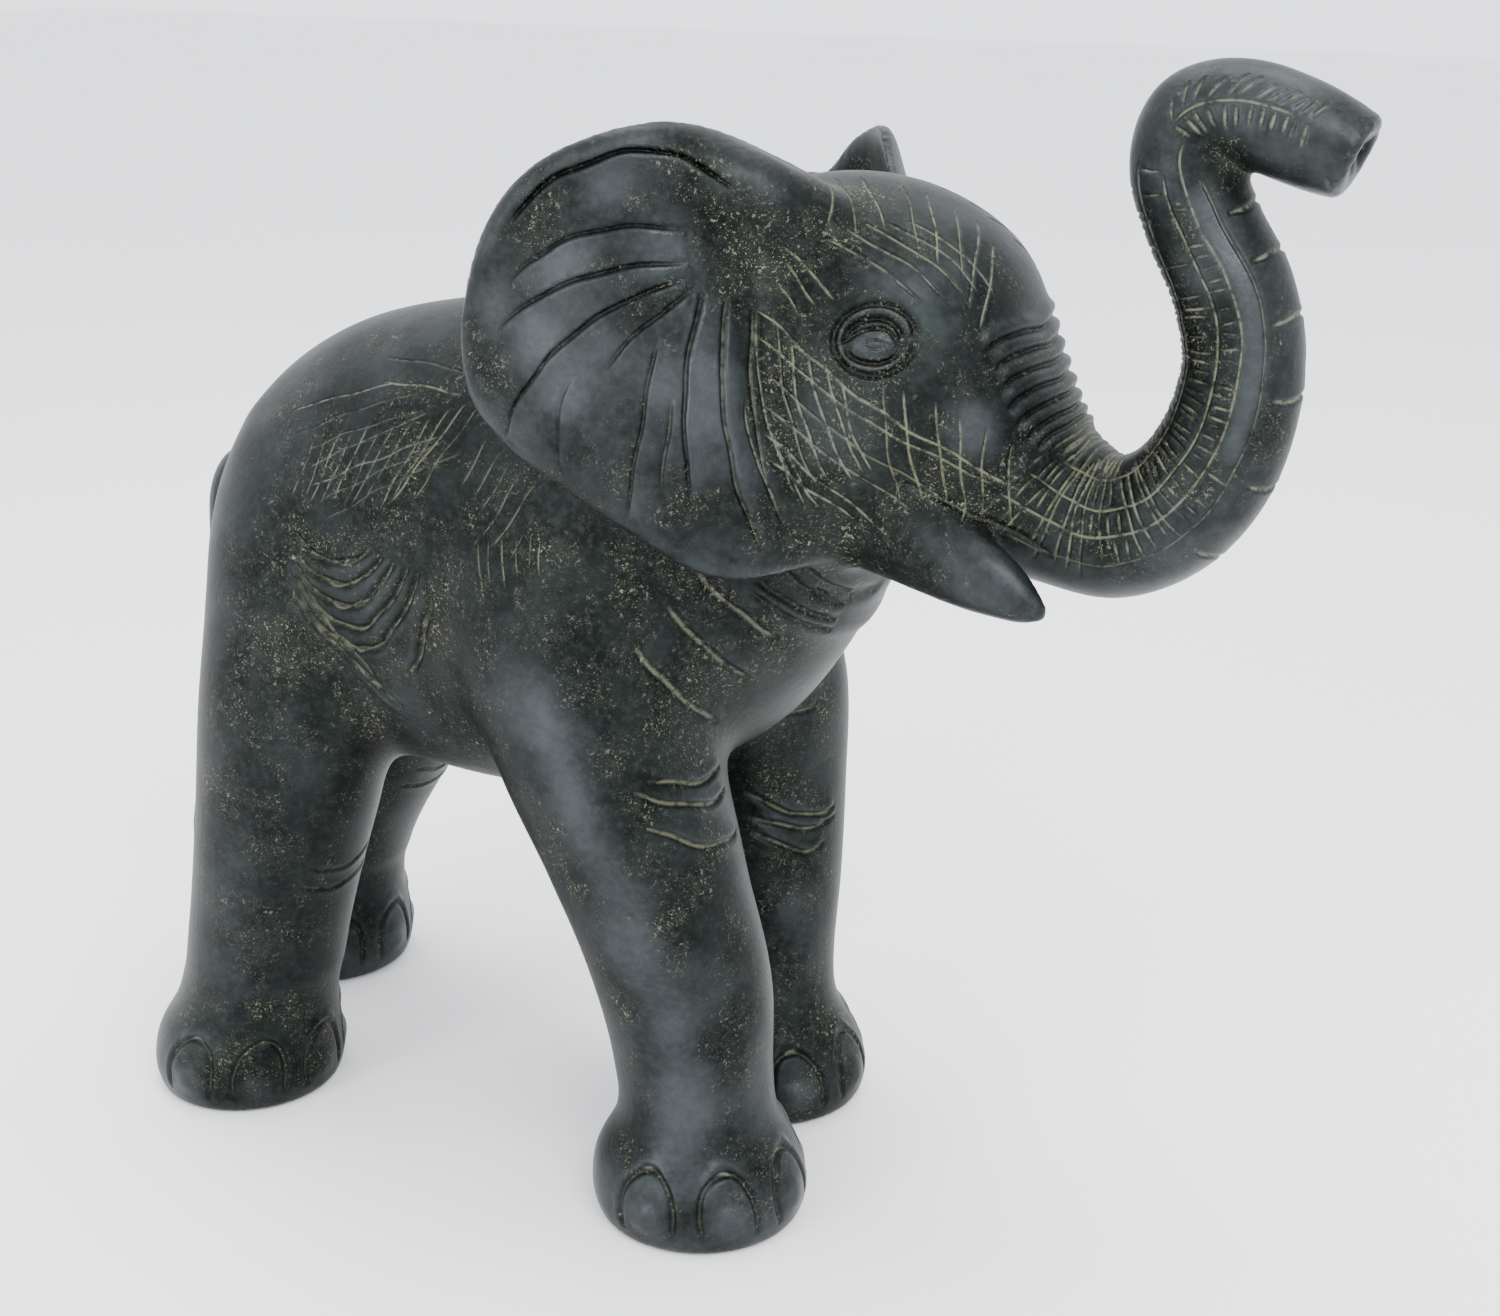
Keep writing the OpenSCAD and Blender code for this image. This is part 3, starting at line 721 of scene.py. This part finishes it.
def mark_legs():
    """Sagging creases round the knees, toenails, and streaks of painted sheen down the fronts."""
    # Creases of each knee: height, angles where they start and end, and sag
    knees = {
        "leg_front_right": ((193, 42, -12, 6), (189, 50, -14, 11), (177, 52, -20, 16)),
        "leg_front_left": ((147, -70, -6, 13), (137, -70, -4, 8), (131, -68, -14, 12),
                           (184, -62, -22, 2)),
    }
    for leg, creases in knees.items():
        for z, start, end, sag in creases:
            fall = sag * np.sin(np.linspace(0, 0.62 * np.pi, 7))
            line = on_leg(leg, z - fall, np.linspace(start, end, 7))
            mark(line, 1.3, 1.4, 0.6, 1.0, 4.5, wobble=0.6)
    for leg, (side, _) in LEGS.items():
        front = "front" in leg
        hocks = () if front else ((118, 34, -30), (109, 38, -34))
        for z, start, end in hocks:
            sag = 4 * np.sin(np.linspace(0, np.pi, 7))
            line = on_leg(leg, z - sag, np.linspace(start, end, 7))
            mark(line, 1.0, 0.8, 0.4, side * 0.4, 4, wobble=0.5)
        for angle in (92, 46, 0, -46):
            nail(leg, angle)
        # A broad streak of painted sheen down the outer front of each leg, fainter behind
        z = np.linspace(20, 236 if front else 150, 9)
        mark(on_leg(leg, z, np.linspace(70, 82, 9)), 13, 0.0, 0.0, polish_and_sheen=0.7 if front else 0.3,
             wobble=0)


def nail(leg, angle):
    """A toenail: an arch cut over it, flat at the sole, with the nail itself standing proud."""
    around = angle + np.array([-15, -16, -13.5, -7.5, 0, 7.5, 13.5, 16, 15])
    z = np.array([7, 17, 26, 31.5, 33, 31.5, 26, 17, 7])
    mark(on_leg(leg, z, around), 1.3, 1.3, 0.3, wobble=0.3)
    mark(on_leg(leg, z[2:7] + 3.5, around[2:7]), 1.8, -0.9, 0, wobble=0.2)
    mark(on_leg(leg, z[3:6] + 0.6, around[3:6]), 0.9, 0.5, 0.75, wobble=0.4)
    mark(on_leg(leg, np.linspace(8, 22, 4), np.full(4, angle)), 6.5, -1.5, 0, polish_and_sheen=0.12, wobble=0)


def mark_tail():
    """Strands of hair cut into the tuft at the end of the tail."""
    for shift in np.linspace(-6, 6, 7):
        for side in (-1, 1):
            line = [[-150 + 0.6 * shift, side * 7, 118], [-155 + 0.9 * shift, side * 7, 98],
                    [-159 + 0.7 * shift, side * 5, 80], [-161 + 0.3 * shift, side * 2, 68]]
            mark(line, 0.7, 0.6, 0.5)


def nearness(points):
    """Distance of every point from the edge of the nearest groove, for refining the mesh."""
    near = np.full(len(points), 50.0)
    for m in marks:
        if m.depth <= 0 or m.width > 3:
            continue
        low = m.points.min(0) - 5
        high = m.points.max(0) + 5
        chosen = np.nonzero(np.all((points > low) & (points < high), axis=1))[0]
        for part in np.array_split(chosen, len(chosen) // CHUNK + 1):
            gap = points[part, None] - m.points[None, ::2]
            distance = np.sqrt((gap ** 2).sum(2).min(1)) - m.width
            near[part] = np.minimum(near[part], distance)
    return near


def worked(points, normals):
    """How far the marks move each point, how pale their dust is, and how polished they are, partly as
    painted sheen.
    """
    cut = np.zeros(len(points))
    raised = np.zeros(len(points))
    pale = np.zeros(len(points))
    polish_and_sheen = np.zeros(len(points))
    for m in marks:
        margin = max(3.2 * m.width, 2.6 * m.reach if m.swell else 0)
        low = m.points.min(0) - margin
        high = m.points.max(0) + margin
        chosen = np.nonzero(np.all((points > low) & (points < high), axis=1))[0]
        for part in np.array_split(chosen, len(chosen) // CHUNK + 1):
            gap = points[part, None] - m.points[None]
            nearest = (gap ** 2).sum(2).argmin(1)
            gap = gap[np.arange(len(part)), nearest]
            lengthwise = (gap * m.ahead[nearest]).sum(1)
            sideways = (gap * m.side[nearest]).sum(1)
            past = np.where((nearest == 0) | (nearest == len(m.points) - 1), np.abs(lengthwise), 0)
            distance = np.hypot(sideways, past)
            facing = np.clip(((normals[part] * m.normal[nearest]).sum(1) - 0.1) * 2.5, 0, 1)
            strength = m.taper[nearest] * facing
            line = np.exp(-(distance / m.width) ** 2)
            lip = np.exp(-((distance - 2.1 * m.width) / (0.9 * m.width)) ** 2)
            if m.depth > 0 and m.width > 3:
                raised[part] -= strength * m.depth * line
            elif m.depth > 0:
                cut[part] = np.maximum(cut[part], strength * m.depth * line)
                raised[part] += strength * m.depth * 0.16 * lip
            else:
                raised[part] = np.maximum(raised[part], -strength * m.depth * line)
            if m.swell:
                left = sideways * np.sign(m.swell)
                slope_up = np.clip(left / (1.1 * m.width) + 0.3, 0, 1)
                fade = np.exp(-(np.maximum(left, 0) / m.reach) ** 1.6)
                fade = fade * np.exp(-(past / m.width) ** 2)
                raised[part] += strength * abs(m.swell) * slope_up * fade
            dust = np.exp(-(distance / (0.9 * m.width)) ** 2)
            pale[part] = np.maximum(pale[part], strength * m.pale * dust)
            polish_and_sheen[part] = np.maximum(polish_and_sheen[part], strength * m.polish_and_sheen * line)
    return raised - cut, pale, polish_and_sheen


# ---------------------------------------------------------------- meshes

def edges_of(faces):
    """The three edges of every triangle, in a row for each edge."""
    return faces[:, [[0, 1], [1, 2], [2, 0]]].reshape(-1, 2)


def facings(points, faces):
    """Square to every triangle, as long as twice its area."""
    corners = points[faces]
    return np.cross(corners[:, 1] - corners[:, 0], corners[:, 2] - corners[:, 0])


def skin_mesh(whole):
    """Even mesh over the zero level of the whole, as points and triangles facing outwards."""
    grid = openvdb.FloatGrid(BAND)
    grid.copyFromArray(whole[1])
    points, quads = grid.convertToQuads(isovalue=0.0)
    points = (points + whole[0]) * VOXEL
    quads = quads.astype(np.int64)
    first = np.linalg.norm(points[quads[:, 0]] - points[quads[:, 2]], axis=1)
    second = np.linalg.norm(points[quads[:, 1]] - points[quads[:, 3]], axis=1)
    turned = np.where((first <= second)[:, None], quads, np.roll(quads, -1, axis=1))
    faces = np.concatenate([turned[:, [0, 1, 2]], turned[:, [0, 2, 3]]])
    if (facings(points, faces) * slope(whole, points[faces].mean(1))).sum() < 0:
        faces = faces[:, ::-1]
    return points, faces


def refine(points, faces, wanted):
    """Splits the wanted triangles into four, and their neighbours to match."""
    n = len(points)
    edges = np.sort(edges_of(faces), axis=1)
    keys, inverse = np.unique(edges[:, 0] * n + edges[:, 1], return_inverse=True)
    inverse = inverse.reshape(-1, 3)
    split = np.zeros(len(keys), bool)
    split[inverse[wanted].ravel()] = True
    number = np.full(len(keys), -1)
    number[split] = n + np.arange(split.sum())
    ends = np.stack([keys[split] // n, keys[split] % n], 1)
    points = np.concatenate([points, points[ends].mean(1)])
    middle = number[inverse]
    cuts = (middle >= 0).sum(1)
    new = [faces[cuts == 0]]
    f, m = faces[cuts == 3], middle[cuts == 3]
    new += [np.stack([f[:, 0], m[:, 0], m[:, 2]], 1), np.stack([m[:, 0], f[:, 1], m[:, 1]], 1),
            np.stack([m[:, 2], m[:, 1], f[:, 2]], 1), m]
    for amount in (1, 2):
        f, m = faces[cuts == amount], middle[cuts == amount]
        first = np.argmax(m >= 0, 1) if amount == 1 else (np.argmin(m, 1) + 1) % 3
        turn = (first[:, None] + np.arange(3)) % 3
        f = np.take_along_axis(f, turn, 1)
        m = np.take_along_axis(m, turn, 1)
        new.append(np.stack([f[:, 0], m[:, 0], f[:, 2]], 1))
        if amount == 1:
            new.append(np.stack([m[:, 0], f[:, 1], f[:, 2]], 1))
        else:
            new.append(np.stack([m[:, 0], m[:, 1], f[:, 2]], 1))
            new.append(np.stack([m[:, 0], f[:, 1], m[:, 1]], 1))
    return points, np.concatenate(new)


def point_normals(points, faces):
    facing = facings(points, faces)
    normals = np.stack([
        np.bincount(faces.ravel(), np.repeat(facing[:, axis], 3), len(points))
        for axis in range(3)], 1)
    return normals / np.maximum(np.linalg.norm(normals, axis=1), 1e-12)[:, None]


def evened(faces, owner):
    """Hands each triangle to the piece that most of its neighbours belong to."""
    edges = np.sort(edges_of(faces), axis=1)
    order = np.lexsort((edges[:, 1], edges[:, 0]))
    partner = np.empty(len(order), int)
    partner[order[0::2]] = order[1::2]
    partner[order[1::2]] = order[0::2]
    near = partner.reshape(-1, 3) // 3
    for _ in range(EVEN_PASSES):
        a, b, c = owner[near].T
        owner = np.where((a == b) | (a == c), a, np.where(b == c, b, owner))
    return owner


def capped(points, faces, normals):
    """Closes the rims of an open piece with a wall down from the rim and a fan, under the skin."""
    n = len(points)
    edges = edges_of(faces)
    keys = edges[:, 0] * n + edges[:, 1]
    rim = edges[~np.isin(keys, edges[:, 1] * n + edges[:, 0])]
    onward = {}
    for a, b in rim:
        onward.setdefault(a, []).append(b)
    new_points = [points]
    new_faces = [faces]
    count = n
    while onward:
        start = next(iter(onward))
        loop = [start]
        while True:
            after = onward[loop[-1]].pop()
            if not onward[loop[-1]]:
                del onward[loop[-1]]
            if after == start or after not in onward:
                break
            loop.append(after)
        ring = np.array(loop)
        lower = count + np.arange(len(ring))
        sunk = points[ring] - CAP_DEPTH * normals[ring]
        middle = sunk.mean(0)
        radius = np.linalg.norm(sunk - middle, axis=1).mean()
        centre = middle - min(0.5 * radius, 2.0) * normals[ring].mean(0)
        ring_after = np.roll(ring, -1)
        lower_after = np.roll(lower, -1)
        new_points += [sunk, centre[None]]
        new_faces += [
            np.stack([ring_after, ring, lower], 1), np.stack([ring_after, lower, lower_after], 1),
            np.stack([lower_after, lower, np.full(len(ring), count + len(ring))], 1)]
        count += len(ring) + 1
    return np.concatenate(new_points), np.concatenate(new_faces), count - n


def make_piece(name, points, faces, normals, values, material):
    """A named mesh piece in the row frame, with smooth normals and its colour marks."""
    used, local = np.unique(faces, return_inverse=True)
    own, triangles, extra = capped(points[used], local.reshape(-1, 3), normals[used])
    mesh = bpy.data.meshes.new(name)
    mesh.vertices.add(len(own))
    mesh.vertices.foreach_set("co", ((own - OFFSET) * MM).astype(np.float32).ravel())
    mesh.loops.add(3 * len(triangles))
    mesh.loops.foreach_set("vertex_index", triangles.astype(np.int32).ravel())
    mesh.polygons.add(len(triangles))
    mesh.polygons.foreach_set("loop_start", np.arange(0, 3 * len(triangles), 3, dtype=np.int32))
    mesh.update(calc_edges=True)
    mesh.shade_smooth()
    for key, value in values.items():
        layer = mesh.attributes.new(key, "FLOAT", "POINT")
        own_values = np.concatenate([value[used], np.zeros(extra)])
        layer.data.foreach_set("value", own_values.astype(np.float32))
    smooth = np.concatenate([normals[used], np.tile([0.0, 0.0, 1.0], (extra, 1))])
    mesh.normals_split_custom_set_from_vertices(smooth.tolist())
    mesh.materials.append(material)
    piece = bpy.data.objects.new(name, mesh)
    bpy.context.scene.collection.objects.link(piece)
    return piece


# ---------------------------------------------------------------- materials

class Shader:
    """Small helper that builds a node material."""

    def __init__(self, name):
        self.material = bpy.data.materials.new(name)
        self.material.use_nodes = True
        self.tree = self.material.node_tree
        self.surface = self.tree.nodes["Principled BSDF"]

    def feed(self, socket, value):
        """Links an output to a socket, or sets a number or a colour there."""
        if isinstance(value, bpy.types.NodeSocket):
            self.tree.links.new(value, socket)
        elif socket.type == "RGBA":
            socket.default_value = (*value, 1.0)
        else:
            socket.default_value = value

    def node(self, kind, inputs, **settings):
        made = self.tree.nodes.new(kind)
        for key, value in settings.items():
            setattr(made, key, value)
        for key, value in inputs.items():
            self.feed(made.inputs[key], value)
        return made

    def noise(self, where, scale, detail=4.0, roughness=0.55, distortion=0.0):
        return self.node("ShaderNodeTexNoise", {
            "Vector": where, "Scale": scale, "Detail": detail, "Roughness": roughness,
            "Distortion": distortion}).outputs["Fac"]

    def maths(self, operation, a, b=0.0, clamp=False):
        return self.node("ShaderNodeMath", {0: a, 1: b}, operation=operation, use_clamp=clamp).outputs[0]

    def ramp(self, value, low, high, to_low=0.0, to_high=1.0):
        return self.node("ShaderNodeMapRange", {
            "Value": value, "From Min": low, "From Max": high, "To Min": to_low, "To Max": to_high,
        }, interpolation_type="SMOOTHSTEP").outputs["Result"]

    def mix(self, share, a, b):
        return self.node("ShaderNodeMix", {0: share, 6: a, 7: b}, data_type="RGBA").outputs[2]

    def attribute(self, name):
        return self.node("ShaderNodeAttribute", {}, attribute_name=name).outputs["Fac"]

    def place(self):
        return self.node("ShaderNodeTexCoord", {}).outputs["Object"]

    def finish(self, **inputs):
        """Feeds the surface: each name stands for its input, as base_color for Base Color."""
        for key, value in inputs.items():
            self.feed(self.surface.inputs[key.replace("_", " ").title()], value)
        return self.material


def patina(name, grey=0.0):
    """Dark green-black patina: grey on high spots and polished streaks, partly rubbed wear and partly
    painted sheen; dust and pale grains in the hollows.
    """
    s = Shader(name)
    place = s.place()
    pale = s.attribute("pale")
    high = s.attribute("high")
    polish_and_sheen = s.attribute("polish_and_sheen")
    hollow = s.attribute("hollow")

    cloud = s.noise(place, 10.0, 3.0)
    patch = s.noise(place, 38.0, 5.0, 0.6)
    fine = s.noise(place, 320.0, 6.0, 0.65)
    crumbs = s.noise(place, 720.0, 2.5, 0.5, 0.5)
    grain = s.noise(place, 1500.0, 1.0, 0.5)
    cluster = s.noise(place, 55.0, 7.0, 0.7)

    base = s.mix(s.ramp(patch, 0.35, 0.65), (0.0030, 0.0042, 0.0038), (0.0085, 0.0115, 0.0107))
    base = s.mix(s.ramp(fine, 0.42, 0.7, 0.0, 0.6), base, (0.016, 0.021, 0.020))

    # Grey on high spots, in clouds and along polished streaks: partly rubbed wear, partly painted sheen
    rub_and_sheen = s.maths("ADD", high, s.maths("MULTIPLY", s.maths("SUBTRACT", cloud, 0.42), 1.5))
    rub_and_sheen = s.maths("ADD", rub_and_sheen, s.maths("MULTIPLY", s.maths("SUBTRACT", patch, 0.5), 0.8))
    rub_and_sheen = s.maths("ADD", rub_and_sheen, s.maths("MULTIPLY", polish_and_sheen, 0.8))
    rub_and_sheen = s.ramp(s.maths("ADD", rub_and_sheen, grey), -0.1, 0.9)
    rub_and_sheen = s.maths("MULTIPLY", rub_and_sheen, s.ramp(fine, 0.3, 0.75, 0.75, 1.0))
    # The grey-blue of rubbed metal, partly painted sheen
    base = s.mix(rub_and_sheen, base, (0.046, 0.052, 0.055))

    dusty = s.maths("SUBTRACT", s.ramp(cluster, 0.40, 0.70), s.maths("MULTIPLY", rub_and_sheen, 1.1), clamp=True)
    dusty = s.maths("ADD", dusty, s.maths("MULTIPLY", hollow, 0.5), clamp=True)
    film = s.maths("MULTIPLY", s.maths("MULTIPLY", dusty, s.ramp(fine, 0.35, 0.7)), 0.45)
    base = s.mix(film, base, (0.026, 0.024, 0.015))
    grains = s.maths("MULTIPLY", s.ramp(grain, 0.64, 0.69), 0.8)
    specks = s.maths("MAXIMUM", s.ramp(crumbs, 0.615, 0.66), grains)
    specks = s.maths("MULTIPLY", specks, dusty)
    base = s.mix(s.maths("MULTIPLY", specks, 0.85), base, (0.125, 0.128, 0.085))

    broken = s.ramp(s.noise(place, 260.0, 4.0, 0.6), 0.36, 0.56, 0.15, 1.0)
    line = s.maths("MULTIPLY", s.ramp(pale, 0.12, 0.8), broken)
    tint = s.mix(s.ramp(cloud, 0.4, 0.6), (0.110, 0.115, 0.066), (0.116, 0.124, 0.092))
    base = s.mix(s.maths("MULTIPLY", line, 0.8), base, tint)
    mineral = s.maths("ADD", line, specks, clamp=True)
    rough = s.ramp(rub_and_sheen, 0.0, 1.0, 0.49, 0.36)
    rough = s.maths("ADD", rough, s.maths("MULTIPLY", mineral, 0.35), clamp=True)
    rough = s.maths("ADD", rough, s.maths("MULTIPLY", s.maths("SUBTRACT", fine, 0.5), 0.16), clamp=True)
    metal = s.maths("SUBTRACT", 0.85, s.maths("MULTIPLY", mineral, 0.8), clamp=True)

    bumps = s.maths("ADD", s.maths("MULTIPLY", fine, 0.6), s.maths("MULTIPLY", crumbs, 0.35))
    bumps = s.maths("ADD", bumps, s.maths("MULTIPLY", specks, 0.5))
    bump = s.node("ShaderNodeBump", {"Strength": 0.3, "Distance": 0.0006, "Height": bumps})
    s.surface.inputs["Specular IOR Level"].default_value = 0.3
    return s.finish(base_color=base, roughness=rough, metallic=metal, normal=bump.outputs["Normal"])


def filed_plate():
    """Sole plates: dull brown-green metal with file strokes."""
    s = Shader("sole_plate")
    place = s.place()
    strokes = s.node("ShaderNodeMapping", {"Vector": place, "Scale": (1.0, 14.0, 1.0)}).outputs[0]
    filed = s.noise(strokes, 90.0, 6.0, 0.6)
    stain = s.noise(place, 45.0, 5.0)
    base = s.mix(s.ramp(filed, 0.35, 0.65), (0.045, 0.044, 0.034), (0.12, 0.115, 0.085))
    base = s.mix(s.ramp(stain, 0.5, 0.7, 0.0, 0.7), base, (0.03, 0.042, 0.034))
    bump = s.node("ShaderNodeBump", {"Strength": 0.3, "Distance": 0.0004, "Height": filed})
    rough = s.ramp(filed, 0.3, 0.7, 0.55, 0.4)
    return s.finish(base_color=base, roughness=rough, metallic=0.6, normal=bump.outputs["Normal"])


# ---------------------------------------------------------------- build

parts, skin = build_fields()
mark_face()
mark_trunk()
mark_ears()
mark_sides()
mark_legs()
mark_tail()

points, faces = skin_mesh(skin)
for reach in (1.2, 0.35):
    near = nearness(points)
    points, faces = refine(points, faces, np.any(near[faces] < reach, axis=1))
    points = settle(points, 1)
normals = slope(skin, points)
moved, pale, polish_and_sheen = worked(points, normals)

broad = bulging(points, normals, 13.0)
close = bulging(points, normals, 5.0)
# high turns convex spots grey in the patina: partly rubbed wear, partly painted sheen
values = {
    "pale": pale,
    "polish_and_sheen": polish_and_sheen,
    "high": np.clip(2.0 * (broad - 0.13) + 0.25 * np.clip(moved, -1.2, 1.2), -0.35, 0.25),
    "hollow": np.clip(-5 * broad - 3 * close - 0.5 * moved, 0, 1),
}
points = points + moved[:, None] * normals
normals = point_normals(points, faces)

names = list(parts)
middles = points[faces].mean(1)
owner = evened(faces, np.argmin([sample(parts[name], middles) for name in names], axis=0))

patina_bronze = patina("patinated_bronze")
rubbed_bronze = patina("rubbed_bronze", 0.05)
for index, name in enumerate(names):
    tusk = name.startswith("tusk")
    bronze = rubbed_bronze if tusk else patina_bronze
    piece = make_piece("skin_" + name, points, faces[owner == index], normals, values, bronze)
    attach(piece, "root")
    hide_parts(name)

plate = filed_plate()
for leg in LEGS:
    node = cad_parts[leg.replace("leg", "sole")]
    for slot in node.material_slots:
        slot.material = plate


def add_floor():
    """Plain pale floor."""
    s = Shader("pale_floor")
    place = s.place()
    base = s.mix(s.noise(place, 3.0, 3.0), (0.88, 0.88, 0.88), (0.92, 0.92, 0.92))
    bpy.ops.mesh.primitive_plane_add(size=12.0, location=(0.0, 0.0, -0.0002))
    floor = bpy.context.object
    floor.name = "floor"
    floor.data.materials.append(s.finish(base_color=base, roughness=0.7))
    return floor


def add_light(name, place, size, power, colour=(1.0, 1.0, 1.0)):
    """Soft rectangular light aimed at the middle of the figure."""
    data = bpy.data.lights.new(name, "AREA")
    data.shape = "RECTANGLE"
    data.size, data.size_y = size
    data.energy = power
    data.color = colour
    light = bpy.data.objects.new(name, data)
    light.location = place
    aim = Vector((0.0, 0.0, 0.22)) - Vector(place)
    light.rotation_euler = aim.to_track_quat("-Z", "Y").to_euler()
    bpy.context.scene.collection.objects.link(light)
    return light


def add_camera():
    """The viewpoint: in front of the right side, a little above the back."""
    data = bpy.data.cameras.new("camera")
    data.sensor_width = 36.0
    data.lens = 52.8
    data.clip_start = 0.01
    camera = bpy.data.objects.new("camera", data)
    azimuth = math.radians(27.0)
    down = math.radians(19.7)
    look = Vector((-math.sin(azimuth), math.cos(azimuth), -math.tan(down)))
    camera.location = (0.4083, -0.7220, 0.5024)
    camera.rotation_euler = look.to_track_quat("-Z", "Y").to_euler()
    bpy.context.scene.collection.objects.link(camera)
    bpy.context.scene.camera = camera


floor = add_floor()
key = add_light("key", (1.1, -1.0, 1.5), (0.9, 0.9), 34.0)
fill = add_light("fill", (-0.5, -1.4, 0.7), (0.5, 1.1), 15.0)
top = add_light("top", (-0.1, 0.3, 1.7), (1.4, 1.0), 26.0)
world = bpy.data.worlds.new("studio")
world.use_nodes = True
world.node_tree.nodes["Background"].inputs["Color"].default_value = (0.93, 0.95, 1.0, 1.0)
world.node_tree.nodes["Background"].inputs["Strength"].default_value = 2.4
bpy.context.scene.world = world
add_camera()
